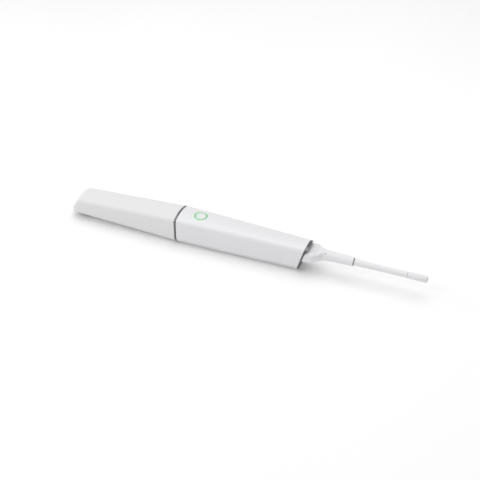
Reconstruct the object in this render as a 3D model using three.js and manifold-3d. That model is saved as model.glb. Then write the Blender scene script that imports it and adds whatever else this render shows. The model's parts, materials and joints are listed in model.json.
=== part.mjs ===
// Intraoral camera: a hand-held dental scanning wand with a sleeve tip that pulls off, one lit push button and a
// detachable cable plug. Millimetres, +Z up. X runs along the wand: the scanning nose is at -X and the cable
// leaves at +X. The origin lies on the resting plane, under the middle of the wand without its cable.
import * as THREE from "three";
import { mergeVertices } from "three/addons/utils/BufferGeometryUtils.js";
import Module from "manifold-3d";

// ---------------------------------------------------------------- driving dimensions
const GAP = 0.3; // clearance between pieces that meet
const LENGTH = 281; // nose to the top of the rear end
const WIDTH = 33; // at the joint between tip and handle
const HEIGHT = 34.5; // at the same joint
const NOSE_X = -LENGTH / 2;
const REAR_X = LENGTH / 2;
const JOINT_X = -8; // middle of the bright ring between tip and handle
const RING = { width: 1.8, depth: 2.6 };

const TIP = {
  wall: 1.4,
  setBack: 0.1, // of its sides and top behind those of the handle
  narrowing: 1.5, // of the half width, from the joint to the nose
  topFall: 6.8, // of the top line, from the joint to the nose
  bellyRise: 5.7, // of the underside, from the joint to the nose
  rearX: JOINT_X - RING.width / 2 - GAP,
};
const NOSE = {
  bluntHeight: 5, // of its front, under the slope
  steepness: 1.5, // rise of the slope for each millimetre back
  corner: 12, // plan radius
  chin: 3, // radius where it turns under
  brow: 3, // how softly the slope meets the top line
};
const SCAN_WINDOW = { x: [-137, -118], halfWidth: 8.5, corner: 3 }; // in the underside of the tip
const MIRROR = { x: -128.2, z: 13.9, halfLength: 8, thickness: 0.7, halfCarrier: 10, lean: -Math.PI / 4 };

const HANDLE = {
  wall: 1.8,
  topFall: 4.3, // of the top line, from the joint to the rear
  rearHalfWidth: 12.3,
  evenNarrowing: 2.4, // the share of the narrowing that is the same all along
  seamZ: 6, // where the upper and lower shells part
  frontX: JOINT_X + RING.width / 2 + GAP,
};
const REAR_TOP_Z = HEIGHT - HANDLE.topFall;
const REAR_SLANT = THREE.MathUtils.degToRad(16); // the rear end leans forward towards its foot
const REAR_RING = { width: 1.2, brow: 1.7, browZ: 26.3 }; // at the top it stands out further, over the plug
const END_PLATE = { sunk: 0.6, thickness: 1.8 };

const BUTTON = { x: 15.9, radius: 5.6, flangeRadius: 6.6, flangeZ: [28.5, 29.2], noseZ: 28, noseRadius: 1.6 };
const LIGHT_RING = { inner: 5.9, outer: 6.9, footRadius: 8.4, footZ: [29.6, 30.3] };
const BUTTON_BOARD_Z = [24.9, 26.1];

const SNOUT = {
  frontX: -74,
  collarX: -26, // the close-fitting part ends here
  rearX: JOINT_X + 4.5,
  rootInset: TIP.wall + 1.7, // of the close-fitting part, from the tip's outer skin
  barrelInset: TIP.wall + 3.3,
  boreInset: TIP.wall + 4.6,
};
const GRIP_RING = { x: [-16, -13], groove: 0.8 };
const LENS_X = [-66, -31];
const LENSES = [
  { name: "camera_lens_left", y: -4.9, z: 14.2, radius: 3.6 },
  { name: "camera_lens_right", y: 4.9, z: 14.2, radius: 3.6 },
  { name: "projector_lens", y: 0, z: 21.2, radius: 3.2 },
];

const CHASSIS = { x: [-1.4, 116], halfWidth: 6, plateZ: [3.9, 5.5], posts: [2, 30, 58, 86, 112], postTopZ: 14.4 };
const SCREW = { x: [6, 62, 112], headRadius: 2.1, headZ: [0.5, 2], radius: 1.05, endZ: 9, keyRadius: 0.9 };
const MAIN_BOARD = { x: [22, 118], halfWidth: 9.6, z: [14.8, 16.4] };
const CHIP_Z = MAIN_BOARD.z[1] + GAP; // underside of what stands on the main board
const SOCKET = { x: [107, 124.4], halfWidth: 5.4, z: [17, 22.6], wall: 0.7, backX: 110 };

const PLUG = {
  frontX: 126,
  insert: { halfWidth: 8, z: [14.1, 25.5], corner: 3 }, // the part inside the handle
  block: { halfWidth: 12.1, z: [13.8, 25.8], standsOut: 8 }, // the part behind it, as wide as the handle
  neckX: 154, // the block narrows to here
};
const CABLE = { z: 21.6, radius: 3.4 };
const BOOT_END_X = 187.2;
const COLLAR = { x: [BOOT_END_X + GAP, BOOT_END_X + 1.1], radius: 4.2 };
const BOOT_MARK = { x: 157.4, radius: 0.75, from: 5.1, to: 5.8, turn: THREE.MathUtils.degToRad(128) };
const COUPLING = { x: [244.3, 264.4], radius: 3.5, wall: 0.9, mouthDepth: 6 };

// ---------------------------------------------------------------- solids and meshes
const wasm = await Module();
wasm.setup();
const wand = new THREE.Group();

/** A closed three.js geometry as a solid that can be joined and cut. */
function solid(geometry) {
  const bare = geometry.index ? geometry.toNonIndexed() : geometry.clone();
  bare.deleteAttribute("normal");
  bare.deleteAttribute("uv");
  const merged = mergeVertices(bare, 1e-4);
  return new wasm.Manifold(
    new wasm.Mesh({
      numProp: 3,
      vertProperties: new Float32Array(merged.attributes.position.array),
      triVerts: new Uint32Array(merged.index.array),
    }),
  );
}

/** A solid as a three.js geometry. */
function geometryOf(body) {
  const mesh = body.getMesh();
  const places = new Float32Array(mesh.numVert * 3);
  for (let i = 0; i < mesh.numVert; i++)
    places.set(mesh.vertProperties.subarray(i * mesh.numProp, i * mesh.numProp + 3), i * 3);
  const geometry = new THREE.BufferGeometry();
  geometry.setAttribute("position", new THREE.BufferAttribute(places, 3));
  geometry.setIndex(new THREE.BufferAttribute(new Uint32Array(mesh.triVerts), 1));
  return geometry;
}

/** Adds one sub-part to the wand. */
function add(name, body, material) {
  const mesh = new THREE.Mesh(geometryOf(body), material);
  mesh.name = name;
  wand.add(mesh);
}

const middle = ([low, high]) => (low + high) / 2;

function box(x, y, z) {
  const geometry = new THREE.BoxGeometry(x[1] - x[0], y[1] - y[0], z[1] - z[0]);
  return solid(geometry.translate(middle(x), middle(y), middle(z)));
}

/** An upright cylinder from z[0] to z[1]. */
function post(x, z, radius, sides = 24) {
  const geometry = new THREE.CylinderGeometry(radius, radius, z[1] - z[0], sides);
  return solid(geometry.rotateX(Math.PI / 2).translate(x, 0, middle(z)));
}

/** A cylinder along X, from x[0] to x[1]. */
function barrel(x, y, z, radius, sides = 20) {
  const geometry = new THREE.CylinderGeometry(radius, radius, x[1] - x[0], sides);
  return solid(geometry.rotateZ(Math.PI / 2).translate(middle(x), y, z));
}

// ---------------------------------------------------------------- outlines and lofts
const { lerp, smoothstep } = THREE.MathUtils;

/** A quarter round's set-back at a distance from where it starts. */
const roundOff = (radius, distance) =>
  distance < radius ? radius - Math.sqrt(radius ** 2 - (radius - distance) ** 2) : 0;

/** The cross-section's outline as [y, z] points: a rounded rectangle whose top is crowned. */
function outlineOf({ half, top, crown, bottom, topRadius, bottomRadius }, corner = 5, across = 6) {
  const edge = top - crown;
  const upper = Math.min(topRadius, half * 0.95, (edge - bottom) * 0.45);
  const lower = Math.min(bottomRadius, half * 0.95, (edge - bottom) * 0.5);
  const points = [];
  const arc = (y, z, radius, from) => {
    for (let i = 0; i <= corner; i++) {
      const angle = THREE.MathUtils.degToRad(from + (90 * i) / corner);
      points.push([y + radius * Math.cos(angle), z + radius * Math.sin(angle)]);
    }
  };
  arc(half - upper, edge - upper, upper, 0);
  for (let i = 1; i < across; i++) points.push([(half - upper) * (1 - (2 * i) / across), edge]);
  arc(upper - half, edge - upper, upper, 90);
  arc(lower - half, bottom + lower, lower, 180);
  arc(half - lower, bottom + lower, lower, 270);
  const waist = (edge + bottom) / 2;
  return points.map(([y, z]) => [y, z + crown * (1 - (y / half) ** 2) * smoothstep(z, waist, edge)]);
}

/**
 * A solid through cross-sections {x, points} with the same number of points, in order of rising x. A section that
 * leans forward towards its foot has the tangent of its lean, and crosses the rear's top line at x.
 */
function loft(sections) {
  const count = sections[0].points.length;
  const places = sections.flatMap(({ x, points, lean = 0 }) =>
    points.map(([y, z]) => [x - lean * (REAR_TOP_Z - z), y, z]),
  );
  const faces = [];
  for (let s = 0; s + 1 < sections.length; s++)
    for (let i = 0; i < count; i++) {
      const a = s * count + i;
      const b = s * count + ((i + 1) % count);
      faces.push([a, b, b + count], [a, b + count, a + count]);
    }
  const cap = (s) => {
    const outline = sections[s].points.map(([y, z]) => new THREE.Vector2(y, z));
    return THREE.ShapeUtils.triangulateShape(outline, []).map((face) => face.map((i) => s * count + i));
  };
  for (const face of cap(0)) faces.push(face.reverse());
  faces.push(...cap(sections.length - 1));
  const geometry = new THREE.BufferGeometry();
  const corners = new Float32Array(faces.flat().flatMap((i) => places[i]));
  geometry.setAttribute("position", new THREE.BufferAttribute(corners, 3));
  return solid(geometry);
}

/** A rounded rectangle in the YZ plane. */
function roundedRectangle(halfWidth, [low, high], radius) {
  const outline = { half: halfWidth, top: high, crown: 0, bottom: low, topRadius: radius, bottomRadius: radius };
  return outlineOf(outline, 4, 1);
}

/** A plate in the YZ plane with rounded corners, from x[0] to x[1]. */
function roundedPlate(x, halfWidth, z, radius) {
  const points = roundedRectangle(halfWidth, z, radius);
  return loft(x.map((at) => ({ x: at, points })));
}

/** The tip's cross-section at x, moved inwards by inset. */
function tipSection(x, inset) {
  const share = (JOINT_X - x) / (JOINT_X - NOSE_X);
  const fromNose = Math.max(x - NOSE_X - inset, 0);
  const slopeFoot = TIP.bellyRise + NOSE.bluntHeight - inset * Math.hypot(1, NOSE.steepness);
  const slope = slopeFoot + NOSE.steepness * (x - NOSE_X);
  const line = HEIGHT - 2 * TIP.setBack - TIP.topFall * share - inset;
  const blend = THREE.MathUtils.clamp(0.5 + (line - slope) / (2 * NOSE.brow), 0, 1);
  const top = lerp(line, slope, blend) - NOSE.brow * blend * (1 - blend);
  const bottom = TIP.bellyRise * share + inset + roundOff(Math.max(NOSE.chin - inset, 0.8), fromNose);
  return {
    half: WIDTH / 2 - TIP.setBack - TIP.narrowing * share - inset - roundOff(NOSE.corner - inset, fromNose),
    top,
    crown: Math.min(lerp(3.6, 2.9, share), 0.35 * (top - bottom)),
    bottom,
    topRadius: 3.2,
    bottomRadius: Math.max(lerp(10.4, 8.4, share) - inset, 2),
  };
}

/** The handle's cross-section at x, moved inwards by inset. */
function handleSection(x, inset) {
  const share = (x - JOINT_X) / (REAR_X - JOINT_X);
  const curvedNarrowing = WIDTH / 2 - HANDLE.evenNarrowing - HANDLE.rearHalfWidth;
  return {
    half: WIDTH / 2 - HANDLE.evenNarrowing * share - curvedNarrowing * share ** 2 - inset,
    top: HEIGHT - HANDLE.topFall * share - inset,
    crown: lerp(3.6, 1.8, share),
    bottom: inset,
    topRadius: lerp(3.2, 4.4, share) - inset * 0.4,
    bottomRadius: lerp(10.4, 9.2, share) - inset,
  };
}

/** A solid through one of those sections at each x, with fewer points where it is an inner surface. */
function through(section, xs, inset = 0) {
  const [corner, across] = inset === 0 ? [5, 6] : [4, 4];
  return loft(xs.map((x) => ({ x, points: outlineOf(section(x, inset), corner, across) })));
}

/** Everything behind a plane that is parallel to the rear end, which leans forward towards its foot. */
function behindRear(extra) {
  const size = 120;
  const geometry = new THREE.BoxGeometry(size, size, size).translate(size / 2, 0, 0);
  return solid(geometry.rotateY(REAR_SLANT).translate(REAR_X + extra, 0, REAR_TOP_Z));
}

// ---------------------------------------------------------------- materials
const material = (color, roughness, metalness) => new THREE.MeshStandardMaterial({ color, roughness, metalness });
const whiteGloss = material(0xe8e8ea, 0.3, 0);
const whiteTip = material(0xe9e9e9, 0.45, 0);
const whiteCable = material(0xdedee2, 0.5, 0);
const chrome = material(0x8a8a8e, 0.15, 1);
const darkPlate = material(0x46464a, 0.4, 0);
const blackPlastic = material(0x1c1c1e, 0.5, 0);
const blackRubber = material(0x202022, 0.8, 0);
const aluminium = material(0xb4b6b8, 0.4, 1);
const glass = material(0x9fb4bd, 0.05, 0);
const mirror = material(0xd8dcde, 0.03, 1);
const board = material(0x1f5c3a, 0.5, 0);
const steel = material(0xa8a8aa, 0.3, 1);
const greenLight = material(0x3fdc5a, 0.3, 0);

// ---------------------------------------------------------------- sleeve tip
const outerNose = [0, 0.6, 1.6, 3.2, 5.5, 8, 11, 14, 17.5, 22, 40, 70, 100].map((d) => NOSE_X + d);
const innerNose = [0.4, 1.4, 3.6, 6.5, 10, 13, 16.5, 22, 60, 100].map((d) => NOSE_X + TIP.wall + d);
const tipHollow = (inset) => through(tipSection, [...innerNose, TIP.rearX + 1], inset);

/** An upright prism over the scanning window's rounded outline. */
function windowCut() {
  const { x, halfWidth, corner } = SCAN_WINDOW;
  const outline = { half: halfWidth, top: -x[0], crown: 0, bottom: -x[1], topRadius: corner, bottomRadius: corner };
  const points = outlineOf(outline, 3, 1);
  const prism = geometryOf(loft([-9, 9].map((at) => ({ x: at, points }))));
  return solid(prism.rotateY(-Math.PI / 2));
}
const tipShell = through(tipSection, [...outerNose, TIP.rearX]).subtract(tipHollow(TIP.wall)).subtract(windowCut());
add("tip_shell", tipShell, whiteTip);

/** A plate that leans with the mirror, trimmed to the room inside the tip. */
function leaningPlate(halfLength, halfWidth, z) {
  const plate = geometryOf(box([-halfLength, halfLength], [-halfWidth, halfWidth], z));
  const leaning = solid(plate.rotateY(MIRROR.lean).translate(MIRROR.x, 0, MIRROR.z));
  return leaning.intersect(tipHollow(TIP.wall + GAP));
}
const carrierBack = -0.9;
const paneFront = carrierBack - GAP;
add("tip_mirror_carrier", leaningPlate(MIRROR.halfCarrier, 9.6, [carrierBack, 0.5]), blackPlastic);
add("tip_mirror", leaningPlate(MIRROR.halfLength, 8, [paneFront - MIRROR.thickness, paneFront]), mirror);

// ---------------------------------------------------------------- handle shells
const handleStations = [0, 14, 30, 50, 72, 96, 120, 160].map((d) => HANDLE.frontX + d);
const cavityStations = [HANDLE.frontX - 1, ...handleStations.slice(1)];
const handle = through(handleSection, handleStations)
  .subtract(through(handleSection, cavityStations, HANDLE.wall))
  .subtract(behindRear(-REAR_RING.brow - REAR_RING.width - GAP));
const slab = (z) => box([NOSE_X, 2 * REAR_X], [-WIDTH, WIDTH], z);
const upperShell = handle
  .intersect(slab([HANDLE.seamZ + GAP / 2, 2 * HEIGHT]))
  .subtract(post(BUTTON.x, [20, 50], LIGHT_RING.outer + GAP, 32));
add("handle_upper_shell", upperShell, whiteGloss);

let lowerShell = handle.intersect(slab([-HEIGHT, HANDLE.seamZ - GAP / 2]));
SCREW.x.forEach((x) => {
  lowerShell = lowerShell
    .add(post(x, [1, CHASSIS.plateZ[0] - 0.5], 3.4, 16))
    .subtract(post(x, [-1, SCREW.headZ[1] + GAP], SCREW.headRadius + GAP, 16))
    .subtract(post(x, [-1, SCREW.endZ], SCREW.radius + GAP, 12));
});
add("handle_lower_shell", lowerShell, whiteGloss);
SCREW.x.forEach((x, i) => {
  const screw = post(x, SCREW.headZ, SCREW.headRadius, 16)
    .add(post(x, [SCREW.headZ[0] + 1, SCREW.endZ], SCREW.radius, 10))
    .subtract(post(x, [0, SCREW.headZ[0] + 0.8], SCREW.keyRadius, 6));
  add(`shell_screw_${i + 1}`, screw, steel);
});

// ---------------------------------------------------------------- trim rings and rear end
const ringX = [JOINT_X - RING.width / 2, JOINT_X + RING.width / 2];
const ringBore = through(handleSection, [ringX[0] - 1, ringX[1] + 1], RING.depth);
add("front_trim_ring", through(handleSection, ringX).subtract(ringBore), chrome);

const rearStations = [100, 128, 150].map((d) => HANDLE.frontX + d);
const rearRing = through(handleSection, rearStations)
  .intersect(behindRear(-REAR_RING.brow - REAR_RING.width))
  .subtract(behindRear(0))
  .subtract(behindRear(-REAR_RING.brow).intersect(slab([-HEIGHT, REAR_RING.browZ])))
  .subtract(through(handleSection, rearStations, HANDLE.wall));
add("rear_trim_ring", rearRing, chrome);

const { insert } = PLUG;
const portHole = roundedPlate(
  [PLUG.frontX - 8, REAR_X + 20],
  insert.halfWidth + GAP,
  [insert.z[0] - GAP, insert.z[1] + GAP],
  insert.corner + GAP,
);
const plateRear = -REAR_RING.brow - END_PLATE.sunk;
const endPlate = through(handleSection, rearStations, HANDLE.wall + GAP)
  .intersect(behindRear(plateRear - END_PLATE.thickness))
  .subtract(behindRear(plateRear))
  .subtract(portHole);
add("rear_end_plate", endPlate, darkPlate);

// ---------------------------------------------------------------- button
const nearButton = [-20, -8, 0, 8, 20].map((d) => BUTTON.x + d);
const skin = through(handleSection, nearButton);
const buttonCap = post(BUTTON.x, [BUTTON.flangeZ[0], HEIGHT + 5], BUTTON.radius, 28)
  .intersect(skin)
  .add(post(BUTTON.x, BUTTON.flangeZ, BUTTON.flangeRadius))
  .subtract(post(BUTTON.x, [BUTTON.noseZ - 1, 32.6], BUTTON.radius - 1.3, 20))
  .add(post(BUTTON.x, [BUTTON.noseZ, 33], BUTTON.noseRadius, 12));
add("button_cap", buttonCap, whiteGloss);

const lightRing = post(BUTTON.x, [LIGHT_RING.footZ[0], HEIGHT + 5], LIGHT_RING.outer, 32)
  .intersect(skin)
  .add(post(BUTTON.x, LIGHT_RING.footZ, LIGHT_RING.footRadius, 28))
  .subtract(post(BUTTON.x, [BUTTON.noseZ, HEIGHT + 10], LIGHT_RING.inner, 28));
add("button_light_ring", lightRing, greenLight);

add("button_board", box([BUTTON.x - 11, BUTTON.x + 13], [-8.5, 8.5], BUTTON_BOARD_Z), board);
const switchBody = box([BUTTON.x - 3, BUTTON.x + 3], [-3, 3], [BUTTON_BOARD_Z[1] + GAP, 26.9]);
add("button_switch", switchBody.add(post(BUTTON.x, [26.6, BUTTON.noseZ - 0.8], 1.7, 12)), blackPlastic);

// ---------------------------------------------------------------- snout
const flange = through(handleSection, [HANDLE.frontX + GAP, HANDLE.frontX + 3], HANDLE.wall + GAP);
const widened = (x, by) => [x[0] - by, x[1] + by];
const gripFloor = through(tipSection, widened(GRIP_RING.x, 1), SNOUT.rootInset + GRIP_RING.groove);
const groove = through(tipSection, widened(GRIP_RING.x, GAP)).subtract(gripFloor);
const snout = through(tipSection, [SNOUT.collarX, JOINT_X, SNOUT.rearX], SNOUT.rootInset)
  .add(through(tipSection, [SNOUT.frontX, -50, SNOUT.collarX + 2], SNOUT.barrelInset))
  .add(flange)
  .subtract(through(tipSection, [SNOUT.frontX - 1, -50, SNOUT.rearX + 2], SNOUT.boreInset))
  .subtract(groove);
add("snout_barrel", snout, blackPlastic);

const gripBore = through(tipSection, widened(GRIP_RING.x, 1), SNOUT.rootInset + GRIP_RING.groove - GAP);
add("snout_grip_ring", through(tipSection, GRIP_RING.x, TIP.wall + GAP).subtract(gripBore), blackRubber);
const windowX = [SNOUT.frontX + 1.2, SNOUT.frontX + 2.8];
add("snout_window", through(tipSection, windowX, SNOUT.boreInset + 2 * GAP), glass);

// ---------------------------------------------------------------- optics
LENSES.forEach(({ name, y, z, radius }) => {
  const [front, rear] = LENS_X;
  const tube = barrel(LENS_X, y, z, radius)
    .add(barrel([front + 8, front + 12], y, z, radius + 0.25)) // the focus ring
    .subtract(barrel([front - 1, front + 1.2], y, z, radius - 0.9))
    .subtract(barrel([rear - 1, rear + 1], y, z, radius - 1.4, 16));
  add(name, tube, blackPlastic);
});
let bench = roundedPlate([-29.5, -4.5], 9, [9, 24.6], 2);
LENSES.forEach(({ y, z, radius }) => {
  bench = bench.subtract(barrel([-40, 0], y, z, radius - 1.4, 16));
});
add("optics_bench", bench, aluminium);
add("image_sensor_board", roundedPlate([-3.1, -1.8], 9.2, [8.4, 25.6], 1.5), board);
const engineX = [-1.4, 18];
add("projector_light_engine", box(engineX, [-6.5, 6.5], [17.2, 23.6]), blackPlastic);
add("projector_heat_spreader", box(engineX, [-6.5, 6.5], [14.8, 16.9]), aluminium);

// ---------------------------------------------------------------- chassis and electronics
let chassis = box(CHASSIS.x, [-CHASSIS.halfWidth, CHASSIS.halfWidth], CHASSIS.plateZ);
CHASSIS.posts.forEach((x) => {
  [-1, 1].forEach((side) => {
    const y = [side * 3.4, side * CHASSIS.halfWidth].sort((a, b) => a - b);
    chassis = chassis.add(box([x - 2, x + 2], y, [CHASSIS.plateZ[0] + 1, CHASSIS.postTopZ]));
  });
});
SCREW.x.forEach((x) => {
  chassis = chassis.subtract(post(x, [0, SCREW.endZ + 3], SCREW.radius + GAP, 12));
});
add("chassis", chassis, aluminium);

const acrossBoard = [-MAIN_BOARD.halfWidth, MAIN_BOARD.halfWidth];
add("main_board", box(MAIN_BOARD.x, acrossBoard, MAIN_BOARD.z), board);
add("image_processor", box([48, 62], [-7, 7], [CHIP_Z, CHIP_Z + 1.3]), blackPlastic);
add("motion_sensor", box([76, 80], [-2, 2], [CHIP_Z, CHIP_Z + 1.2]), blackPlastic);
add("power_module", box([86, 98], [-6, 6], [CHIP_Z, CHIP_Z + 4]), blackPlastic);

const sinkX = [44, 66];
const sinkFoot = CHIP_Z + 1.3 + GAP;
let heatSink = box(sinkX, [-8, 8], [sinkFoot, sinkFoot + 1.6]);
for (let fin = 0; fin < 6; fin++) {
  const y = -8 + 3 * fin;
  heatSink = heatSink.add(box(sinkX, [y, y + 1], [sinkFoot + 1, sinkFoot + 6.9]));
}
add("heat_sink", heatSink, aluminium);

const socketBore = roundedPlate(
  [SOCKET.backX, SOCKET.x[1] + 5],
  SOCKET.halfWidth - SOCKET.wall,
  [SOCKET.z[0] + SOCKET.wall, SOCKET.z[1] - SOCKET.wall],
  1.1,
);
add("cable_socket", roundedPlate(SOCKET.x, SOCKET.halfWidth, SOCKET.z, 1.6).subtract(socketBore), steel);

// ---------------------------------------------------------------- cable plug and boot
const { block } = PLUG;
const blockEnd = REAR_X + block.standsOut;
const blockLean = Math.tan(REAR_SLANT);
const blockOutline = (inset, corner) =>
  roundedRectangle(block.halfWidth - inset, [block.z[0] + inset, block.z[1] - inset], corner);
// Behind the block's slanted rear face the housing narrows to an upright round end.
const plugBlock = loft([
  { x: REAR_X - REAR_RING.brow + GAP, lean: blockLean, points: blockOutline(0, 3.2) },
  { x: blockEnd - 0.9, lean: blockLean, points: blockOutline(0, 3.2) },
  { x: blockEnd, lean: blockLean, points: blockOutline(0.9, 2.6) },
  { x: blockEnd + 2.6, lean: 0.75 * blockLean, points: roundedRectangle(8.9, [14.9, 26], 4.2) },
  { x: PLUG.neckX - 0.8, lean: 0.25 * blockLean, points: roundedRectangle(6.8, [15.1, 27.5], 5.4) },
  { x: PLUG.neckX, points: roundedRectangle(6.4, [15, 27.8], 6) },
]);
const plugInsert = roundedPlate([PLUG.frontX, REAR_X - 1], insert.halfWidth, insert.z, insert.corner);
add("plug_housing", plugBlock.add(plugInsert), whiteGloss);
add("plug_tongue", roundedPlate([SOCKET.backX + 2, PLUG.frontX - GAP], 4.2, [18.2, 21.4], 1.2), steel);

/** An oval section around the cable's line, with its centre lowered by sink. */
function oval(x, halfWidth, halfHeight, sink) {
  const sides = 18;
  const points = Array.from({ length: sides }, (_, i) => {
    const angle = (2 * Math.PI * i) / sides;
    return [halfWidth * Math.cos(angle), CABLE.z - sink + halfHeight * Math.sin(angle)];
  });
  return { x, points };
}

/** A short rod across the boot's side, at the mark. */
function markRod(radius, from, to) {
  const rod = new THREE.CylinderGeometry(radius, radius, to - from, 12).translate(0, (from + to) / 2, 0);
  return solid(rod.rotateX(BOOT_MARK.turn).translate(BOOT_MARK.x, 0, CABLE.z));
}
// The boot narrows from the plug's neck to the cable.
const boot = loft([
  oval(PLUG.neckX + GAP, 6.3, 6.3, 0.2),
  oval(157, 5.9, 5.9, 0.1),
  oval(162, 5.5, 5.5, 0),
  oval(170, 5.2, 5.2, 0),
  oval(180, 5, 5, 0),
  oval(BOOT_END_X, 4.8, 4.8, 0),
]);
const markPocket = markRod(BOOT_MARK.radius + GAP, BOOT_MARK.from - GAP, BOOT_MARK.to + 5);
add("cable_boot", boot.subtract(markPocket), whiteCable);
add("boot_mark", markRod(BOOT_MARK.radius, BOOT_MARK.from, BOOT_MARK.to), darkPlate);
add("boot_end_collar", barrel(COLLAR.x, 0, CABLE.z, COLLAR.radius), darkPlate);

// ---------------------------------------------------------------- cable and its in-line coupling
const CABLE_ROUTE = [
  [188.6, 21.6], [192, 21.6], [196, 21.6], [200, 21.6], [204, 21.6],
  [208, 21.6], [212, 21.6], [216, 21.6], [220, 21.6], [224, 21.6],
  [228, 21.6], [232, 21.6], [236, 21.6], [240, 21.6], [244, 21.6],
].map(([x, z]) => new THREE.Vector3(x, 0, z));
const cable = new THREE.ExtrudeGeometry(new THREE.Shape().absarc(0, 0, CABLE.radius, 0, 2 * Math.PI), {
  extrudePath: new THREE.CatmullRomCurve3(CABLE_ROUTE),
  steps: 4,
  curveSegments: 12,
});
add("cable", solid(cable), whiteCable);

const [, couplingEnd] = COUPLING.x;
const mouth = [couplingEnd - COUPLING.mouthDepth, couplingEnd + 1];
const coupling = barrel(COUPLING.x, 0, CABLE.z, COUPLING.radius);
add("coupling_shell", coupling.subtract(barrel(mouth, 0, CABLE.z, COUPLING.radius - COUPLING.wall)), whiteCable);
const insertX = [mouth[0] + GAP, couplingEnd - 0.9];
const insertRadius = COUPLING.radius - COUPLING.wall - GAP;
add("coupling_insert", barrel(insertX, 0, CABLE.z, insertRadius, 16), blackPlastic);

export default wand;
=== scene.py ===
"""Looks of an intraoral camera wand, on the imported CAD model's frame. Metres, +Z up, cable towards +X."""
import json
import math

import bpy
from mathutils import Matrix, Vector


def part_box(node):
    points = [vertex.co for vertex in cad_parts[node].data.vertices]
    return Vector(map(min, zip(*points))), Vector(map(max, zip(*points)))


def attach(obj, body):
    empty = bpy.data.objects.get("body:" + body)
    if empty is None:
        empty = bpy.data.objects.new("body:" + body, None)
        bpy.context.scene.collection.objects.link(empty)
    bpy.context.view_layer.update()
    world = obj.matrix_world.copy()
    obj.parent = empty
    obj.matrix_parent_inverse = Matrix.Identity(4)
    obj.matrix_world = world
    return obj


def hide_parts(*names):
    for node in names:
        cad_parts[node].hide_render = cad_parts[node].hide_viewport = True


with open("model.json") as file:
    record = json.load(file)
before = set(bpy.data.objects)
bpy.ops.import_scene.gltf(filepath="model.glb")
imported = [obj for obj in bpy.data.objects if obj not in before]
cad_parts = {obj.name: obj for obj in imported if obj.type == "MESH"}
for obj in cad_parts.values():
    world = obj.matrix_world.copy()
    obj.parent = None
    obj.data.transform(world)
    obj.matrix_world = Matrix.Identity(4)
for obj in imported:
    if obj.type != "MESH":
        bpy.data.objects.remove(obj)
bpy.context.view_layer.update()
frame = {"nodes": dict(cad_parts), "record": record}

# ---------------------------------------------------------------- measures
MM = 0.001
GAP = 0.3 * MM
tip_low, tip_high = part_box("tip_shell")
ring_low, ring_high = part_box("front_trim_ring")
plug_low, plug_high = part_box("plug_housing")
boot_low, boot_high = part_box("cable_boot")
cap_low, cap_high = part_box("button_cap")
coupling_low, coupling_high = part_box("coupling_shell")
snout_low, snout_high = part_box("snout_barrel")
grip_low, grip_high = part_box("snout_grip_ring")

NOSE_X, TIP_REAR_X = tip_low.x, tip_high.x
REAR_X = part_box("rear_trim_ring")[1].x
RING_X = (ring_low.x, ring_high.x)
JOINT_X = (ring_low.x + ring_high.x) / 2
HALF_WIDTH = 16.5 * MM  # at the joint
HEIGHT = 34.5 * MM  # at the joint
BELLY_RISE = 5.7 * MM  # of the tip's underside, from the joint to the nose
TIP_DROP = 6.8 * MM  # of the tip's top line, from the joint to the nose
NOSE_FRONT = 5 * MM  # height of the nose's end, above the belly
NOSE_SLOPE = 1.5  # rise of the face above it, for each length rearwards
NOSE_CORNER = 12 * MM  # seen from above
TIP_WALL = 1.4 * MM
HANDLE_WALL = 1.8 * MM
SEAM_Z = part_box("handle_lower_shell")[1].z + GAP / 2
REAR_TOP_Z = HEIGHT - 4.3 * MM
REAR_SLANT = math.tan(math.radians(16))
REAR_RING_WIDTH = 1.2 * MM
BROW = 1.7 * MM  # how far the rear ring's top stands out over the plug
BROW_Z = 26.3 * MM
BUTTON_X = (cap_low.x + cap_high.x) / 2
LIGHT_OUTER = 6.9 * MM
CABLE_Z = (coupling_low.z + coupling_high.z) / 2
# The opening in the tip's underside: its cutter runs from below the belly to inside the chamber.
WINDOW = {"x": (-137 * MM, -118 * MM), "half": 8.5 * MM, "corner": 3 * MM, "z": (-9 * MM, 9 * MM)}


# ---------------------------------------------------------------- camera and light
def camera(target, azimuth, elevation, distance, lens):
    """A camera that looks at target: azimuth 0 looks along +Y."""
    a, e = math.radians(azimuth), math.radians(elevation)
    away = Vector((math.sin(a) * math.cos(e), -math.cos(a) * math.cos(e), math.sin(e)))
    data = bpy.data.cameras.new("camera")
    data.lens, data.sensor_width = lens, 36
    data.clip_start, data.clip_end = 0.05, 20
    eye = bpy.data.objects.new("camera", data)
    eye.location = target + away * distance
    eye.rotation_euler = away.to_track_quat("Z", "Y").to_euler()
    bpy.context.collection.objects.link(eye)
    bpy.context.scene.camera = eye


def area_light(name, place, aim, size, power):
    data = bpy.data.lights.new(name, "AREA")
    data.shape, data.size, data.energy = "DISK", size, power
    lamp = bpy.data.objects.new(name, data)
    lamp.location = place
    lamp.rotation_euler = (Vector(place) - Vector(aim)).to_track_quat("Z", "Y").to_euler()
    bpy.context.collection.objects.link(lamp)


camera(Vector((0.0611, 0, 0.0141)), azimuth=22.28, elevation=36.56, distance=1.059, lens=74.2)
area_light("overhead", (0.1, 0.25, 1.3), (0.02, 0, 0), 1.4, 6.8)
area_light("front_upper", (-0.52, -0.82, 1.05), (0, 0, 0.02), 0.34, 1.7)
area_light("nose_side", (-1.1, -0.1, 0.6), (-0.13, 0, 0.02), 0.6, 1.5)
world = bpy.data.worlds.new("studio")
bpy.context.scene.world = world
world.use_nodes = True
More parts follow.
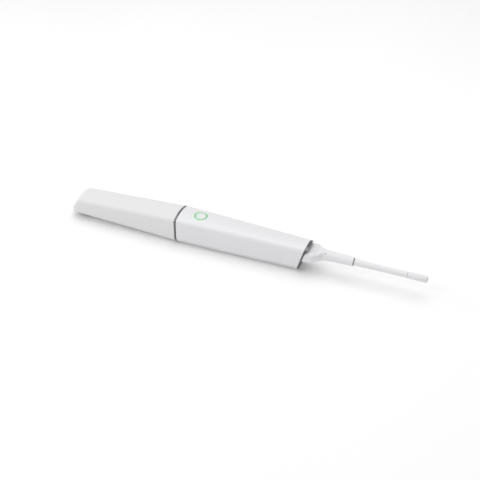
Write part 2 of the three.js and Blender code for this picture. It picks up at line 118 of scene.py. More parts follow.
# The room is brighter towards the nose and dimmer towards the cable.
room = world.node_tree
direction = room.nodes.new("ShaderNodeTexCoord").outputs["Generated"]
axes = room.nodes.new("ShaderNodeSeparateXYZ")
brightness = room.nodes.new("ShaderNodeMapRange")
for socket, value in (("From Min", -1), ("From Max", 1), ("To Min", 0.95), ("To Max", 0.45)):
    brightness.inputs[socket].default_value = value
room.links.new(direction, axes.inputs["Vector"])
room.links.new(axes.outputs["X"], brightness.inputs["Value"])
room.links.new(brightness.outputs["Result"], room.nodes["Background"].inputs["Strength"])
room.nodes["Background"].inputs["Color"].default_value = (1, 1, 1, 1)
bpy.context.scene.view_settings.view_transform = "Standard"


# ---------------------------------------------------------------- materials
class Shader:
    """A material's node tree, with short ways to add and join nodes. Texture coordinates are in metres."""

    def __init__(self, name, **settings):
        self.material = bpy.data.materials.new(name)
        self.material.use_nodes = True
        self.tree = self.material.node_tree
        self.surface = self.tree.nodes["Principled BSDF"]
        for socket, value in settings.items():
            self.surface.inputs[socket.replace("_", " ")].default_value = value
        self.place = self.add("ShaderNodeTexCoord").outputs["Object"]

    def add(self, kind, **settings):
        node = self.tree.nodes.new(kind)
        for key, value in settings.items():
            setattr(node, key, value)
        return node

    def join(self, source, target):
        self.tree.links.new(source, target)

    def stretched(self, scale):
        """The coordinates scaled by (x, y, z)."""
        node = self.add("ShaderNodeMapping")
        node.inputs["Scale"].default_value = scale
        self.join(self.place, node.inputs["Vector"])
        return node.outputs["Vector"]

    def noise(self, size, detail, along=(1, 1, 1)):
        """Noise whose features are about size metres across, from 0 to 1."""
        node = self.add("ShaderNodeTexNoise")
        node.inputs["Scale"].default_value = 1 / size
        node.inputs["Detail"].default_value = detail
        self.join(self.stretched(along), node.inputs["Vector"])
        return node.outputs["Fac"]

    def between(self, source, low, high, from_low=0.3, from_high=0.7):
        """source, taken from one range of numbers to another."""
        node = self.add("ShaderNodeMapRange")
        names = ("From Min", "From Max", "To Min", "To Max")
        for name, value in zip(names, (from_low, from_high, low, high)):
            node.inputs[name].default_value = value
        self.join(source, node.inputs["Value"])
        return node.outputs["Result"]

    def colours(self, source, *stops):
        """A colour ramp through (place, colour) stops."""
        node = self.add("ShaderNodeValToRGB")
        ramp = node.color_ramp
        while len(ramp.elements) < len(stops):
            ramp.elements.new(0.5)
        for element, (place, colour) in zip(ramp.elements, stops):
            element.position, element.color = place, (*colour, 1)
        self.join(source, node.inputs["Fac"])
        return node.outputs["Color"]

    def bump(self, height, depth):
        """Bumps that are depth metres tall where height is 1."""
        node = self.add("ShaderNodeBump")
        node.inputs["Strength"].default_value = 1.0
        node.inputs["Distance"].default_value = depth
        self.join(height, node.inputs["Height"])
        self.join(node.outputs["Normal"], self.surface.inputs["Normal"])

    def set(self, socket, source):
        self.join(source, self.surface.inputs[socket])


def shades(colour, spread):
    """The colour a little darker and a little lighter."""
    return [tuple(c * (1 + side * spread) for c in colour) for side in (-1, 1)]


def moulded(name, colour, roughness, spread, grain=0.25 * MM, grain_depth=0.004 * MM, **settings):
    """Moulded plastic: a fine spark-eroded grain, faint flow marks and handling marks in its gloss."""
    s = Shader(name, **settings)
    dark, light = shades(colour, spread)
    s.set("Base Color", s.colours(s.noise(60 * MM, 2, (0.5, 1, 1)), (0.2, dark), (0.8, light)))
    s.set("Roughness", s.between(s.noise(25 * MM, 1), roughness - 0.01, roughness + 0.02, 0.2, 0.8))
    s.bump(s.noise(grain, 2), grain_depth)
    return s.material


def brushed(name, colour, roughness, along):
    """Metal with fine lines: along is how much the noise is squeezed in each direction."""
    s = Shader(name, Metallic=1.0)
    lines = s.noise(1 * MM, 4, along)
    dark, light = shades(colour, 0.12)
    s.set("Base Color", s.colours(lines, (0.35, dark), (0.65, light)))
    s.set("Roughness", s.between(lines, roughness - 0.05, roughness + 0.07))
    s.bump(lines, 0.003 * MM)
    return s.material


def circuit_board(name):
    """Solder mask over copper tracks, with bare pads."""
    s = Shader(name, Roughness=0.35, Coat_Weight=0.4)
    tracks = s.add("ShaderNodeTexVoronoi", distance="CHEBYCHEV")
    tracks.inputs["Scale"].default_value = 450
    s.join(s.place, tracks.inputs["Vector"])
    mask = s.colours(
        tracks.outputs["Distance"],
        (0.10, (0.75, 0.55, 0.2)),
        (0.14, (0.01, 0.10, 0.045)),
        (0.45, (0.012, 0.13, 0.06)),
        (0.50, (0.02, 0.2, 0.09)),
    )
    s.set("Base Color", mask)
    s.bump(tracks.outputs["Distance"], 0.03 * MM)
    return s.material


def lit_ring(name):
    """A translucent ring that glows green, unevenly, as over a row of lamps."""
    s = Shader(name, Roughness=0.25, Coat_Weight=0.5)
    lamps = s.noise(3.5 * MM, 1)
    s.set("Base Color", s.colours(lamps, (0.3, (0.16, 0.55, 0.20)), (0.7, (0.22, 0.66, 0.26))))
    s.set("Emission Color", s.colours(lamps, (0.3, (0.03, 0.50, 0.10)), (0.7, (0.08, 0.66, 0.18))))
    s.surface.inputs["Emission Strength"].default_value = 0.35
    s.bump(s.noise(0.3 * MM, 2), 0.005 * MM)
    return s.material


def optical_glass(name, tint):
    """Coated glass, with a faint haze in its polish."""
    s = Shader(name, Transmission_Weight=1.0, IOR=1.52, Coat_Weight=0.6, Coat_Roughness=0.02)
    dark, light = shades(tint, 0.03)
    s.set("Base Color", s.colours(s.noise(6 * MM, 1), (0.3, dark), (0.7, light)))
    s.set("Roughness", s.between(s.noise(2 * MM, 3), 0.0, 0.03))
    return s.material


def front_mirror(name):
    """A front-surface mirror with the faintest wipe marks."""
    s = Shader(name, Metallic=1.0)
    s.set("Base Color", s.colours(s.noise(5 * MM, 2), (0.3, (0.86, 0.88, 0.9)), (0.7, (0.93, 0.94, 0.95))))
    s.set("Roughness", s.between(s.noise(1.5 * MM, 4, (0.2, 1, 1)), 0.01, 0.05))
    return s.material


def coated_lens(name):
    """Lens glass over a dark barrel, with a violet coating."""
    s = Shader(name, Coat_Weight=1.0, Coat_Roughness=0.01, Roughness=0.05)
    s.set("Base Color", s.colours(s.noise(4 * MM, 1), (0.3, (0.015, 0.01, 0.03)), (0.7, (0.03, 0.02, 0.07))))
    s.bump(s.noise(5 * MM, 0), 0.01 * MM)
    return s.material


GLOSS = {"Coat_Weight": 0.3, "Coat_Roughness": 0.15}
MATERIALS = {
    "gloss_white": moulded("gloss_white", (0.745, 0.745, 0.758), 0.32, 0.006, **GLOSS),
    "tip_white": moulded("tip_white", (0.73, 0.73, 0.73), 0.42, 0.006, 0.35 * MM, 0.008 * MM),
    "cable_white": moulded("cable_white", (0.76, 0.76, 0.773), 0.48, 0.01, 0.5 * MM, 0.010 * MM),
    "trim_chrome": brushed("trim_chrome", (0.16, 0.16, 0.17), 0.16, (2.0, 0.05, 0.05)),
    "dark_plate": moulded("dark_plate", (0.26, 0.26, 0.265), 0.4, 0.05),
    "black_plastic": moulded("black_plastic", (0.014, 0.014, 0.016), 0.45, 0.15, 0.4 * MM, 0.012 * MM),
    "black_rubber": moulded("black_rubber", (0.018, 0.018, 0.019), 0.75, 0.15, 0.3 * MM, 0.015 * MM),
    "bare_aluminium": brushed("bare_aluminium", (0.62, 0.63, 0.64), 0.34, (0.06, 2.0, 2.0)),
    "clear_glass": optical_glass("clear_glass", (0.82, 0.88, 0.93)),
    "mirror_glass": front_mirror("mirror_glass"),
    "circuit_board": circuit_board("circuit_board"),
    "screw_steel": brushed("screw_steel", (0.5, 0.5, 0.5), 0.3, (1, 1, 1)),
    "green_light": lit_ring("green_light"),
}


# ---------------------------------------------------------------- sections
class Section:
    """A rounded rectangle with a crowned top, across the wand at one x."""

    def __init__(self, half, top, crown, bottom, top_radius, bottom_radius):
        self.half, self.top, self.crown, self.bottom = half, top, crown, bottom
        self.edge = top - crown
        tall = self.edge - bottom
        self.upper = min(top_radius, half * 0.95, tall * 0.45)
        self.lower = min(bottom_radius, half * 0.95, tall * 0.5)

    def crowned(self, y, z):
        """The height z with its share of the crown: none up to the waist, and all of it at the top."""
        waist = (self.edge + self.bottom) / 2
        t = min(max((z - waist) / (self.edge - waist), 0), 1)
        return z + self.crown * (1 - (y / self.half) ** 2) * t * t * (3 - 2 * t)

    def top_at(self, y):
        """Height of the top face at y."""
        return self.crowned(y, self.edge)

    def right_half(self, low=None, high=None):
        """Points up the +Y side, from the middle of the underside to the middle of the top. low starts them
        at that height in the lower corner, and high ends them at that height there."""
        start, end = -math.pi / 2, 0.0
        if low is not None:
            start = math.asin(max(min((low - self.bottom - self.lower) / self.lower, 1), -1))
        if high is not None:
            end = math.asin(max(min((high - self.bottom - self.lower) / self.lower, 1), -1))
        points = []
        if low is None:
            flat = self.half - self.lower
            points += [(flat * i / 8, self.bottom) for i in range(8)]
        for i in range(15):
            a = start + (end - start) * i / 14
            y = self.half - self.lower + self.lower * math.cos(a)
            points.append((y, self.bottom + self.lower * (1 + math.sin(a))))
        if high is not None:
            return points
        side_low, side_high = self.bottom + self.lower, self.edge - self.upper
        points += [(self.half, side_low + (side_high - side_low) * i / 10) for i in range(1, 10)]
        for i in range(13):
            a = math.pi / 2 * i / 12
            y = self.half - self.upper + self.upper * math.cos(a)
            points.append((y, side_high + self.upper * math.sin(a)))
        flat = self.half - self.upper
        points += [(flat * (1 - i / 14), self.edge) for i in range(1, 15)]
        return [(y, self.crowned(y, z)) for y, z in points]

    def outline(self):
        """The whole closed outline."""
        right = self.right_half()
        return right + [(-y, z) for y, z in reversed(right[1:-1])]

    def arch(self, low):
        """The open outline over the top, from height low on one side to the same height on the other."""
        right = self.right_half(low=low)
        return right + [(-y, z) for y, z in reversed(right[:-1])]

    def trough(self, high):
        """The open outline under the belly, from height high on the +Y side to the other side."""
        right = self.right_half(high=high)
        return list(reversed(right)) + [(-y, z) for y, z in right[1:]]


def lerp(a, b, t):
    return a + (b - a) * t


def round_off(radius, distance):
    """A quarter round's set-back at a distance from where it starts."""
    return radius - math.sqrt(radius**2 - (radius - distance) ** 2) if distance < radius else 0.0


def tip_section(x, inset=0.0):
    """The tip's outline at x, inset from its skin. Its top line blends into the nose's slope."""
    share = (JOINT_X - x) / (JOINT_X - NOSE_X)
    from_nose = max(x - NOSE_X - inset, 0)
    slope = BELLY_RISE + NOSE_FRONT - inset * math.hypot(1, NOSE_SLOPE) + NOSE_SLOPE * (x - NOSE_X)
    line = HEIGHT - 0.2 * MM - TIP_DROP * share - inset
    blend = min(max(0.5 + (line - slope) / (6 * MM), 0), 1)
    top = lerp(line, slope, blend) - 3 * MM * blend * (1 - blend)
    bottom = BELLY_RISE * share + inset + round_off(max(3 * MM - inset, 0.8 * MM), from_nose)
    return Section(
        half=HALF_WIDTH - 0.1 * MM - 1.5 * MM * share - inset - round_off(NOSE_CORNER - inset, from_nose),
        top=top,
        crown=min(lerp(3.6, 2.9, share) * MM, 0.35 * (top - bottom)),
        bottom=bottom,
        top_radius=3.2 * MM,
        bottom_radius=max(lerp(10.4, 8.4, share) * MM - inset, 2 * MM),
    )


def handle_section(x, inset=0.0):
    """The handle's outline at x, inset from its skin. It narrows and gets lower towards the rear."""
    share = (x - JOINT_X) / (REAR_X - JOINT_X)
    return Section(
        half=HALF_WIDTH - 2.4 * MM * share - 1.8 * MM * share**2 - inset,
        top=HEIGHT - (HEIGHT - REAR_TOP_Z) * share - inset,
        crown=lerp(3.6, 1.8, share) * MM,
        bottom=inset,
        top_radius=lerp(3.2, 4.4, share) * MM - inset * 0.4,
        bottom_radius=lerp(10.4, 9.2, share) * MM - inset,
    )


def slanted(foot, head, outline_at):
    """A loop on a plane that crosses z = 0 at x = foot and the rear's top line at x = head."""
    loop = []
    for (y0, z0), (y1, z1) in zip(outline_at(foot), outline_at(head)):
        t = z0 / (REAR_TOP_Z - z1 + z0)
        loop.append(Vector((lerp(foot, head, t), lerp(y0, y1, t), lerp(z0, z1, t))))
    return loop


def upright(x, points):
    return [Vector((x, y, z)) for y, z in points]


# ---------------------------------------------------------------- meshes
def mesh_piece(name, points, faces, body, slot, *nodes, bevel=None, segments=3):
    """A smooth piece on a body, which stands for the named CAD nodes."""
    mesh = bpy.data.meshes.new(name)
    mesh.from_pydata([tuple(p) for p in points], [], faces)
    mesh.validate()
    mesh.shade_smooth()
    piece = bpy.data.objects.new(name, mesh)
    bpy.context.collection.objects.link(piece)
    finish_piece(piece, body, slot, *nodes)
    if bevel:
        add_bevel(piece, bevel, segments)
    else:
        mesh.set_sharp_from_angle(angle=math.radians(40))
    return piece


def finish_piece(piece, body, slot, *nodes):
    piece.data.materials.append(MATERIALS[slot])
    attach(piece, body)
    if nodes:
        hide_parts(*nodes)


def add_bevel(piece, width, segments=3, angle=40):
    rounding = piece.modifiers.new("rounded_edges", "BEVEL")
    rounding.width, rounding.segments = width, segments
    rounding.limit_method, rounding.angle_limit = "ANGLE", math.radians(angle)
    rounding.use_clamp_overlap = False
    rounding.harden_normals = True
    rounding.miter_outer = "MITER_ARC"


def skin_loops(loops, closed=False, strip=False):
    """Points and faces through loops that have the same number of points. closed joins the last loop to the
    first. strip caps the ends of a C-shaped section, whose loop runs out and back."""
    count = len(loops[0])
    points = [p for loop in loops for p in loop]
    faces = []
    rows = len(loops)
    for s in range(rows if closed else rows - 1):
        a, b = s * count, (s + 1) % rows * count
        faces += [(a + i, a + (i + 1) % count, b + (i + 1) % count, b + i) for i in range(count)]
    if closed:
        return points, faces
    last = (rows - 1) * count
    if strip:
        half = count // 2
        pairs = [(i, i + 1, count - 2 - i, count - 1 - i) for i in range(half - 1)]
        faces += [tuple(reversed(p)) for p in pairs]
        faces += [tuple(last + i for i in p) for p in pairs]
    else:
        faces.append(tuple(reversed(range(count))))
        faces.append(tuple(last + i for i in range(count)))
    return points, faces


def revolved(profile, place, segments):
    """Points and faces of a closed profile of (radius, along) turned about an axis. place(radius, along,
    angle) gives each point. A profile that starts and ends on the axis closes over it."""
    on_axis = profile[0][0] == 0
    ring = profile[1:-1] if on_axis else profile
    points = [place(r, h, 2 * math.pi * k / segments) for r, h in ring for k in range(segments)]
    faces = []
    rows = len(ring)
    for s in range(rows - 1 if on_axis else rows):
        a, b = s * segments, (s + 1) % rows * segments
        faces += [(a + k, b + k, b + (k + 1) % segments, a + (k + 1) % segments) for k in range(segments)]
    if on_axis:
        first, last = len(points), len(points) + 1
        points += [place(0, profile[0][1], 0), place(0, profile[-1][1], 0)]
        end = (rows - 1) * segments
        faces += [(first, k, (k + 1) % segments) for k in range(segments)]
        faces += [(last, end + (k + 1) % segments, end + k) for k in range(segments)]
    return points, faces


def turned_piece(name, profile, place, segments, body, slot, *nodes):
    """A piece turned from a profile that runs outwards, along and back inwards."""
    points, faces = revolved(profile, place, segments)
    return mesh_piece(name, points, [face[::-1] for face in faces], body, slot, *nodes)


def along_x(y, z):
    """A place() for revolved(): the axis runs along +X at (y, z), and along is x."""
    return lambda r, x, a: Vector((x, y + r * math.cos(a), z + r * math.sin(a)))


def cut(piece, *cutters):
    """Cuts closed meshes, each (points, faces), out of a piece."""
    for points, faces in cutters:
        mesh = bpy.data.meshes.new("cutter")
        mesh.from_pydata([tuple(p) for p in points], [], faces)
        tool = bpy.data.objects.new("cutter", mesh)
        bpy.context.collection.objects.link(tool)
        step = piece.modifiers.new("cut", "BOOLEAN")
        step.object, step.operation, step.solver = tool, "DIFFERENCE", "EXACT"
        bpy.context.view_layer.update()
        whole = piece.evaluated_get(bpy.context.evaluated_depsgraph_get())
        result = bpy.data.meshes.new_from_object(whole)
        piece.modifiers.remove(step)
        piece.data = result
        bpy.data.objects.remove(tool)
    piece.data.shade_smooth()


def upright_prism(x, half_width, corner, z, steps=8):
    """A prism over a rounded rectangle, from z[0] to z[1]."""
    outline = []
    for cx, cy, start in (
        (x[1] - corner, half_width - corner, 0),
        (x[0] + corner, half_width - corner, 90),
        (x[0] + corner, corner - half_width, 180),
        (x[1] - corner, corner - half_width, 270),
    ):
        for i in range(steps + 1):
            a = math.radians(start + 90 * i / steps)
            outline.append((cx + corner * math.cos(a), cy + corner * math.sin(a)))
    return skin_loops([[Vector((px, py, h)) for px, py in outline] for h in z])


def upright_cylinder(x, radius, z, segments=96):
    return skin_loops(
        [[Vector((x + radius * math.cos(a), radius * math.sin(a), h)) for a in turn(segments)] for h in z]
    )


def turn(segments):
    return [2 * math.pi * k / segments for k in range(segments)]


# ---------------------------------------------------------------- sleeve tip
def nose_stations(inset, spacing):
    """Stations from the nose to the tip's rear: close together round the nose, then even."""
    corner = NOSE_CORNER - inset
    steps = 20
    start = NOSE_X + inset
    xs = [start + corner * (1 - math.cos(math.pi / 2 * i / steps)) for i in range(steps + 1)]
    xs[0] += 0.02 * MM
    count = round((TIP_REAR_X - xs[-1]) / spacing)
    return xs + [lerp(xs[-1], TIP_REAR_X, (i + 1) / count) for i in range(count)]


def tip_shell():
    outer = [upright(x, tip_section(x).outline()) for x in nose_stations(0, 2.6 * MM)]
    inner = [upright(x, tip_section(x, TIP_WALL).outline()) for x in nose_stations(TIP_WALL, 5 * MM)]
    points, faces = skin_loops(outer + inner[::-1])
    shell = mesh_piece("sleeve_tip", points, faces, "tip", "tip_white", "tip_shell")
    cut(shell, upright_prism(WINDOW["x"], WINDOW["half"], WINDOW["corner"], WINDOW["z"]))
    add_bevel(shell, 0.35 * MM, 3, angle=45)


# ---------------------------------------------------------------- handle
def rear_plane(extra):
    """(foot, head) of a plane parallel to the rear end, extra behind it."""
    return REAR_X + extra - REAR_SLANT * REAR_TOP_Z, REAR_X + extra


def handle_planes(count):
    """Planes from the handle's upright front to its slanted rear edge."""
    front = RING_X[1] + GAP
    foot, head = rear_plane(-BROW - REAR_RING_WIDTH - GAP)
    return [(lerp(front, foot, i / count), lerp(front, head, i / count)) for i in range(count + 1)]


def upper_shell():
    loops = []
    for foot, head in handle_planes(72):
        low = SEAM_Z + GAP / 2
        outer = slanted(foot, head, lambda x: handle_section(x).arch(low))
        inner = slanted(foot, head, lambda x: handle_section(x, HANDLE_WALL).arch(low))
        loops.append(outer + inner[::-1])
    points, faces = skin_loops(loops, strip=True)
    shell = mesh_piece("upper_shell", points, faces, "handle", "gloss_white", "handle_upper_shell")
    cut(shell, upright_cylinder(BUTTON_X, LIGHT_OUTER + GAP, (0.020, 0.050)))
    add_bevel(shell, 0.25 * MM, 3, angle=45)


def lower_shell():
    loops = []
    for foot, head in handle_planes(72):
        high = SEAM_Z - GAP / 2
        outer = slanted(foot, head, lambda x: handle_section(x).trough(high))
        inner = slanted(foot, head, lambda x: handle_section(x, HANDLE_WALL).trough(high))
        loops.append(outer[::-1] + inner)
    points, faces = skin_loops(loops, strip=True)
    faces = [tuple(reversed(f)) for f in faces]
    shell = mesh_piece("lower_shell", points, faces, "handle", "gloss_white", "handle_lower_shell")
    for n in (1, 2, 3):
        low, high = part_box(f"shell_screw_{n}")
        x, head_radius = (low.x + high.x) / 2, (high.x - low.x) / 2
        cut(shell, upright_cylinder(x, head_radius + GAP, (-0.001, 0.006), 48))
    add_bevel(shell, 0.25 * MM, 3, angle=45)


def band(name, loops_out, loops_in, *nodes, bevel=0.3 * MM):
    points, faces = skin_loops(loops_out + loops_in[::-1], closed=True)
    return mesh_piece(name, points, faces, "handle", "trim_chrome", *nodes, bevel=bevel, segments=4)


def front_ring():
    xs = [lerp(*RING_X, i / 4) for i in range(5)]
    outer = [upright(x, handle_section(x).outline()) for x in xs]
    inner = [upright(x, handle_section(x, 2.6 * MM).outline()) for x in (xs[0], xs[-1])]
    band("front_ring", outer, inner, "front_trim_ring", bevel=0.35 * MM)


def rear_ring():
    """A thin band whose top stands out over the plug as a brow."""
    planes = [rear_plane(-BROW - REAR_RING_WIDTH * (1 - i / 4)) for i in range(5)]
    outer = [slanted(f, h, lambda x: handle_section(x).outline()) for f, h in planes]
    ends = (planes[0], planes[-1])
    inner = [slanted(f, h, lambda x: handle_section(x, HANDLE_WALL).outline()) for f, h in ends]
    for loop in (outer[-1], inner[-1]):
        for point in loop:
            t = min(max((point.z - BROW_Z + 0.4 * MM) / (0.8 * MM), 0), 1)
            point.x += BROW * t * t * (3 - 2 * t)
    band("rear_ring", outer, inner, "rear_trim_ring", bevel=0.25 * MM)


# ---------------------------------------------------------------- button
def on_skin(r, h, a):
    """A place() round the button: h is measured from the handle's skin."""
    x, y = BUTTON_X + r * math.cos(a), r * math.sin(a)
    return Vector((x, y, handle_section(x).top_at(y) + h))


def button():
    cap = [
        (0, -0.45), (2.2, -0.4), (3.9, -0.22), (4.8, -0.06), (5.2, -0.02), (5.42, -0.08), (5.57, -0.26),
        (5.6, -0.6), (5.6, -4.3), (6.6, -4.35), (6.6, -4.9), (1.6, -4.9), (1.6, -5.6), (0, -5.6),
    ]
    cap = [(r * MM, h * MM) for r, h in cap]
    turned_piece("button", cap, on_skin, 96, "button", "gloss_white", "button_cap")
    ring = [
        (5.9, -0.2), (5.98, -0.04), (6.15, 0.04), (6.4, 0.07), (6.65, 0.04), (6.82, -0.04), (6.9, -0.2),
        (6.9, -3.1), (8.1, -3.15), (8.1, -3.7), (5.9, -3.7),
    ]
    ring = [(r * MM, h * MM) for r, h in ring]
    turned_piece("light_ring", ring, on_skin, 96, "handle", "green_light", "button_light_ring")


# ---------------------------------------------------------------- plug, boot, cable and coupling
def rounded_rectangle(half, z, corner, steps=8):
    """Points round a rectangle across the wand, from height z[0] to z[1]."""
    points = []
    for y, height, start in (
        (half - corner, z[1] - corner, 0),
        (corner - half, z[1] - corner, 90),
        (corner - half, z[0] + corner, 180),
        (half - corner, z[0] + corner, 270),
    ):
        for i in range(steps + 1):
            a = math.radians(start + 90 * i / steps)
            points.append((y + corner * math.cos(a), height + corner * math.sin(a)))
    return points


PLUG_BLOCK = {"half": plug_high.y, "z": (13.8 * MM, 25.8 * MM), "corner": 3.2 * MM, "edge": 0.4 * MM}
PLUG_INSERT = {"half": 8 * MM, "z": (14.1 * MM, 25.5 * MM), "corner": 3 * MM, "edge": 0.5 * MM}
BLOCK_OUT = 7.6 * MM  # how far the block's straight part reaches behind the rear end
# mm behind the rear end, share of the rear's slant, half width, bottom, top and corner radius in mm.
PLUG_NECK = [
    (8.0, 1.0, 12.0, 13.9, 25.7, 3.1), (8.3, 1.0, 11.8, 14.2, 25.65, 3.0), (8.6, 1.0, 11.3, 15.2, 25.5, 3.0),
    (9.6, 0.92, 10.8, 15.7, 25.5, 3.3), (10.8, 0.75, 9.7, 15.8, 25.8, 3.8), (11.9, 0.5, 8.5, 15.6, 26.5, 4.6),
    (12.9, 0.25, 7.4, 15.3, 27.2, 5.3), (13.7, 0.0, 6.55, 15.05, 27.7, 6.1),
    (13.8, 0.0, 6.1, 15.5, 27.25, 5.7), (14.1, 0.0, 6.1, 15.5, 27.25, 5.7),
]


def shrunk(block, inset):
    """The block's or insert's outline, moved inwards by inset."""
    low, high = block["z"]
    return rounded_rectangle(block["half"] - inset, (low + inset, high - inset), block["corner"] - inset)


def leaning(x, lean, points):
    """A loop on a plane that leans forwards going down, and crosses the rear's top line at x."""
    return [Vector((x - lean * REAR_SLANT * (REAR_TOP_Z - z), y, z)) for y, z in points]


def plug_housing():
    """A wide flat block that narrows to a round neck, and a narrower insert in front of it in the handle."""
    chamfer, edge = PLUG_INSERT["edge"], PLUG_BLOCK["edge"]
    loops = [upright(plug_low.x + chamfer - inset, shrunk(PLUG_INSERT, inset)) for inset in (chamfer, 0)]
    front = REAR_X - BROW + GAP
    loops.append(leaning(front - 0.01 * MM, 1, shrunk(PLUG_INSERT, 0)))
    for i in range(5):
        a = math.pi / 2 * i / 4
        outline = shrunk(PLUG_BLOCK, edge * (1 - math.sin(a)))
        loops.append(leaning(front + edge * (1 - math.cos(a)), 1, outline))
    for i in range(1, 7):
        x = lerp(front + edge, REAR_X + BLOCK_OUT, i / 6)
        loops.append(leaning(x, 1, shrunk(PLUG_BLOCK, 0)))
    for out, lean, across, bottom, top, radius in PLUG_NECK:
        points = rounded_rectangle(across * MM, (bottom * MM, top * MM), radius * MM)
        loops.append(leaning(REAR_X + out * MM, lean, points))
    points, faces = skin_loops(loops)
    return mesh_piece("plug_block", points, faces, "plug", "gloss_white", "plug_housing")


BOOT = [  # in mm: x, half width, half height, how far the middle is below the cable's line
    (154.3, 6.3, 6.3, 0.2), (157, 5.9, 5.9, 0.1), (162, 5.5, 5.5, 0.0),
    (170, 5.2, 5.2, 0.0), (180, 5.0, 5.0, 0.0), (187.2, 4.8, 4.8, 0.0),
]


def boot_at(x):
    """(half width, half height, middle height) of the boot at x, smooth between its stations."""
    rows = [[v * MM for v in row] for row in BOOT]
    x = min(max(x, rows[0][0]), rows[-1][0])
    i = next(k for k in range(len(rows) - 1) if x <= rows[k + 1][0])
    before, a, b, after = rows[max(i - 1, 0)], rows[i], rows[i + 1], rows[min(i + 2, len(rows) - 1)]
    t = (x - a[0]) / (b[0] - a[0])
    values = []
    for k in (1, 2, 3):
        start = (b[k] - before[k]) / (b[0] - before[0]) * (b[0] - a[0])
        end = (after[k] - a[k]) / (after[0] - a[0]) * (b[0] - a[0])
        h00, h10 = 2 * t**3 - 3 * t**2 + 1, t**3 - 2 * t**2 + t
        h01, h11 = 3 * t**2 - 2 * t**3, t**3 - t**2
        values.append(h00 * a[k] + h10 * start + h01 * b[k] + h11 * end)
    return values[0], values[1], CABLE_Z - values[2]


def boot():
    """The boot, with a shallow hole for its mark."""
    count, overlap = 48, 0.25 * MM
    loops = []
    for s in range(count + 1):
        x = lerp(boot_low.x, boot_high.x + overlap, s / count)
        half, tall, middle = boot_at(x)
        loops.append([Vector((x, half * math.cos(a), middle + tall * math.sin(a))) for a in turn(56)])
    points, faces = skin_loops(loops)
    piece = mesh_piece("boot", points, faces, "plug", "cable_white", "cable_boot")
    low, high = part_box("boot_mark")
    middle = (low + high) / 2
    outward = Vector((0, middle.y, middle.z - CABLE_Z)).normalized()
    side = Vector((1, 0, 0))
    other = outward.cross(side)
    radius, above, below = 0.9 * MM, 3 * MM, -0.55 * MM
    hole = [
        [middle + outward * out + (side * math.cos(a) + other * math.sin(a)) * radius for a in turn(24)]
        for out in (above, below)
    ]
    cut(piece, skin_loops(hole))
    add_bevel(piece, 0.25 * MM, 2)
    return piece


ROUTE = [  # in mm: x, z
    (188.6, 21.6), (192, 21.6), (196, 21.6), (200, 21.6), (204, 21.6),
    (208, 21.6), (212, 21.6), (216, 21.6), (220, 21.6), (224, 21.6),
    (228, 21.6), (232, 21.6), (236, 21.6), (240, 21.6), (244, 21.6),
]
CABLE_PATH = [Vector((x * MM, 0, z * MM)) for x, z in ROUTE]
CABLE_DIAMETER = 6.8 * MM


def cable():
    """The cable: its jacket is a little thicker where it leaves the boot, and thins over 35 mm."""
    count, overlap = 48, 0.25 * MM
    start, end = CABLE_PATH[0] - Vector((overlap, 0, 0)), CABLE_PATH[-1]
    loops = []
    for s in range(count + 1):
        middle = start.lerp(end, s / count)
        t = min((middle.x - start.x) / (35 * MM), 1)
        radius = CABLE_DIAMETER / 2 + lerp(0.15, -0.15, t * t * (3 - 2 * t)) * MM
        loops.append([middle + Vector((0, radius * math.cos(a), radius * math.sin(a))) for a in turn(48)])
    points, faces = skin_loops(loops)
    return mesh_piece("cable_jacket", points, faces, "plug", "cable_white", "cable", bevel=0.2 * MM)


def collar():
    """A ring set a little below the boot's surface."""
    low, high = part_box("boot_end_collar")
    r, edge = (high.z - low.z) / 2 - 0.3 * MM, 0.15 * MM
    profile = [
        (0, low.x), (r - edge, low.x), (r, low.x + edge),
        (r, high.x - edge), (r - edge, high.x), (0, high.x),
    ]
    on_axis = along_x(0, CABLE_Z)
    return turned_piece("boot_collar", profile, on_axis, 64, "plug", "dark_plate", "boot_end_collar")


def coupling():
    """The slim coupling with a fine groove, and the core and pins in its open end."""
    r = (coupling_high.z - coupling_low.z) / 2
    start, end = coupling_low.x, coupling_high.x
    lip = r - 0.9 * MM
    mouth = end - 6 * MM
    profile = [
        (0, start), (r - 0.4 * MM, start), (r - 0.1 * MM, start + 0.12 * MM), (r, start + 0.4 * MM),
        (r, start + 2.0 * MM), (r - 0.1 * MM, start + 2.1 * MM),
        (r - 0.1 * MM, start + 2.3 * MM), (r, start + 2.4 * MM),
        (r, end - 0.4 * MM), (r - 0.12 * MM, end - 0.12 * MM), (r - 0.4 * MM, end),
        (lip, end), (lip, mouth), (0, mouth),
    ]
    on_axis = along_x(0, CABLE_Z)
    pieces = [turned_piece("coupling", profile, on_axis, 64, "plug", "cable_white", "coupling_shell")]
    low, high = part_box("coupling_insert")
    core, edge = 2.3 * MM, 0.2 * MM
    profile = [(0, low.x), (core, low.x), (core, high.x - edge), (core - edge, high.x), (0, high.x)]
    pieces.append(
        turned_piece("coupling_core", profile, on_axis, 48, "plug", "black_plastic", "coupling_insert")
    )
    circle, pin = 1.35 * MM, 0.3 * MM
    profile = [(0, high.x - pin), (pin, high.x - pin), (pin, high.x + 0.4 * MM), (0, high.x + 0.6 * MM)]
    for k, a in enumerate(turn(6)):
        place = along_x(circle * math.cos(a), CABLE_Z + circle * math.sin(a))
        pieces.append(turned_piece(f"coupling_pin_{k + 1}", profile, place, 16, "plug", "screw_steel"))
    return pieces


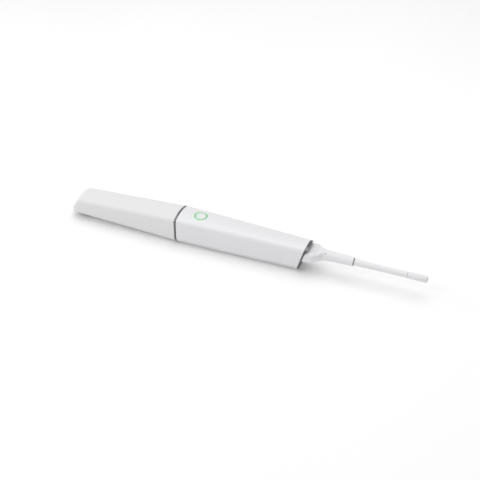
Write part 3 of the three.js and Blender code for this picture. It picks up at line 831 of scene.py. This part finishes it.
# ---------------------------------------------------------------- snout
def snout():
    root, barrel, bore = TIP_WALL + 1.7 * MM, TIP_WALL + 3.3 * MM, TIP_WALL + 4.6 * MM
    groove = root + 0.8 * MM
    step_x = -26 * MM
    flange = (RING_X[1] + 2 * GAP, snout_high.x)
    path = [(snout_low.x, barrel, tip_section)]
    path += [(lerp(snout_low.x, step_x, i / 12), barrel, tip_section) for i in range(1, 13)]
    path += [(step_x + 1.5 * MM, root, tip_section), (grip_low.x - GAP, root, tip_section)]
    path += [(grip_low.x - GAP, groove, tip_section), (grip_high.x + GAP, groove, tip_section)]
    path += [(grip_high.x + GAP, root, tip_section), (flange[0], root, tip_section)]
    path += [(flange[0], HANDLE_WALL + GAP, handle_section), (flange[1], HANDLE_WALL + GAP, handle_section)]
    path += [(flange[1], bore, tip_section)]
    path += [(lerp(flange[1], snout_low.x, i / 12), bore, tip_section) for i in range(1, 13)]
    loops = [upright(x, section(x, inset).outline()) for x, inset, section in path]
    points, faces = skin_loops(loops, closed=True)
    mesh_piece("snout", points, faces, "handle", "black_plastic", "snout_barrel", bevel=0.25 * MM)
    xs = [lerp(grip_low.x, grip_high.x, i / 4) for i in range(5)]
    bulge = [0.35, 0.1, 0.0, 0.1, 0.35]
    outer = [upright(x, tip_section(x, TIP_WALL + GAP + b * MM).outline()) for x, b in zip(xs, bulge)]
    inner = [upright(x, tip_section(x, groove - GAP).outline()) for x in (xs[0], xs[-1])]
    points, faces = skin_loops(outer + inner[::-1], closed=True)
    mesh_piece("grip_ring", points, faces, "handle", "black_rubber", "snout_grip_ring", bevel=0.2 * MM)


def lens_glasses():
    """A domed front glass in each lens barrel."""
    glass = coated_lens("lens_coating")
    for node in ("camera_lens_left", "camera_lens_right", "projector_lens"):
        low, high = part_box(node)
        y, z = (low.y + high.y) / 2, (low.z + high.z) / 2
        radius = (high.y - low.y) / 2 - 1.3 * MM
        front, seat = low.x + 0.35 * MM, low.x + 1.1 * MM
        angles = [math.pi / 2 * i / 6 for i in range(7)]
        dome = [(radius * math.sin(a), front + 0.7 * MM * (1 - math.cos(a))) for a in angles]
        profile = [(0, front)] + dome[1:] + [(radius, seat), (0, seat)]
        piece = turned_piece(f"{node}_glass", profile, along_x(y, z), 48, "handle", "clear_glass")
        piece.data.materials[0] = glass


# ---------------------------------------------------------------- build
tip_shell()
upper_shell()
lower_shell()
front_ring()
rear_ring()
button()
on_cord = [plug_housing(), boot()]
jacket = cable()
on_cord += [collar(), *coupling()]
snout()
lens_glasses()

slots = {part["node"]: part["material_slot"] for part in frame["record"]["subparts"]}
for node, piece in frame["nodes"].items():
    piece.data.materials.clear()
    piece.data.materials.append(MATERIALS[slots[node]])
screws = [f"shell_screw_{n}" for n in (1, 2, 3)]
for node in ("tip_mirror_carrier", "tip_mirror", "rear_end_plate", *screws):
    add_bevel(frame["nodes"][node], 0.12 * MM, 2)

# ---------------------------------------------------------------- floor
bpy.ops.mesh.primitive_plane_add(size=8, location=(0, 0, -0.1 * MM))
floor = bpy.context.object
floor.name = "floor"
pale = Shader("floor", Roughness=0.9, Emission_Strength=0.06)
paper = pale.colours(pale.noise(0.4, 1), (0.3, (0.88, 0.88, 0.88)), (0.7, (0.90, 0.90, 0.90)))
pale.set("Base Color", paper)
pale.set("Emission Color", paper)
floor.data.materials.append(pale.material)
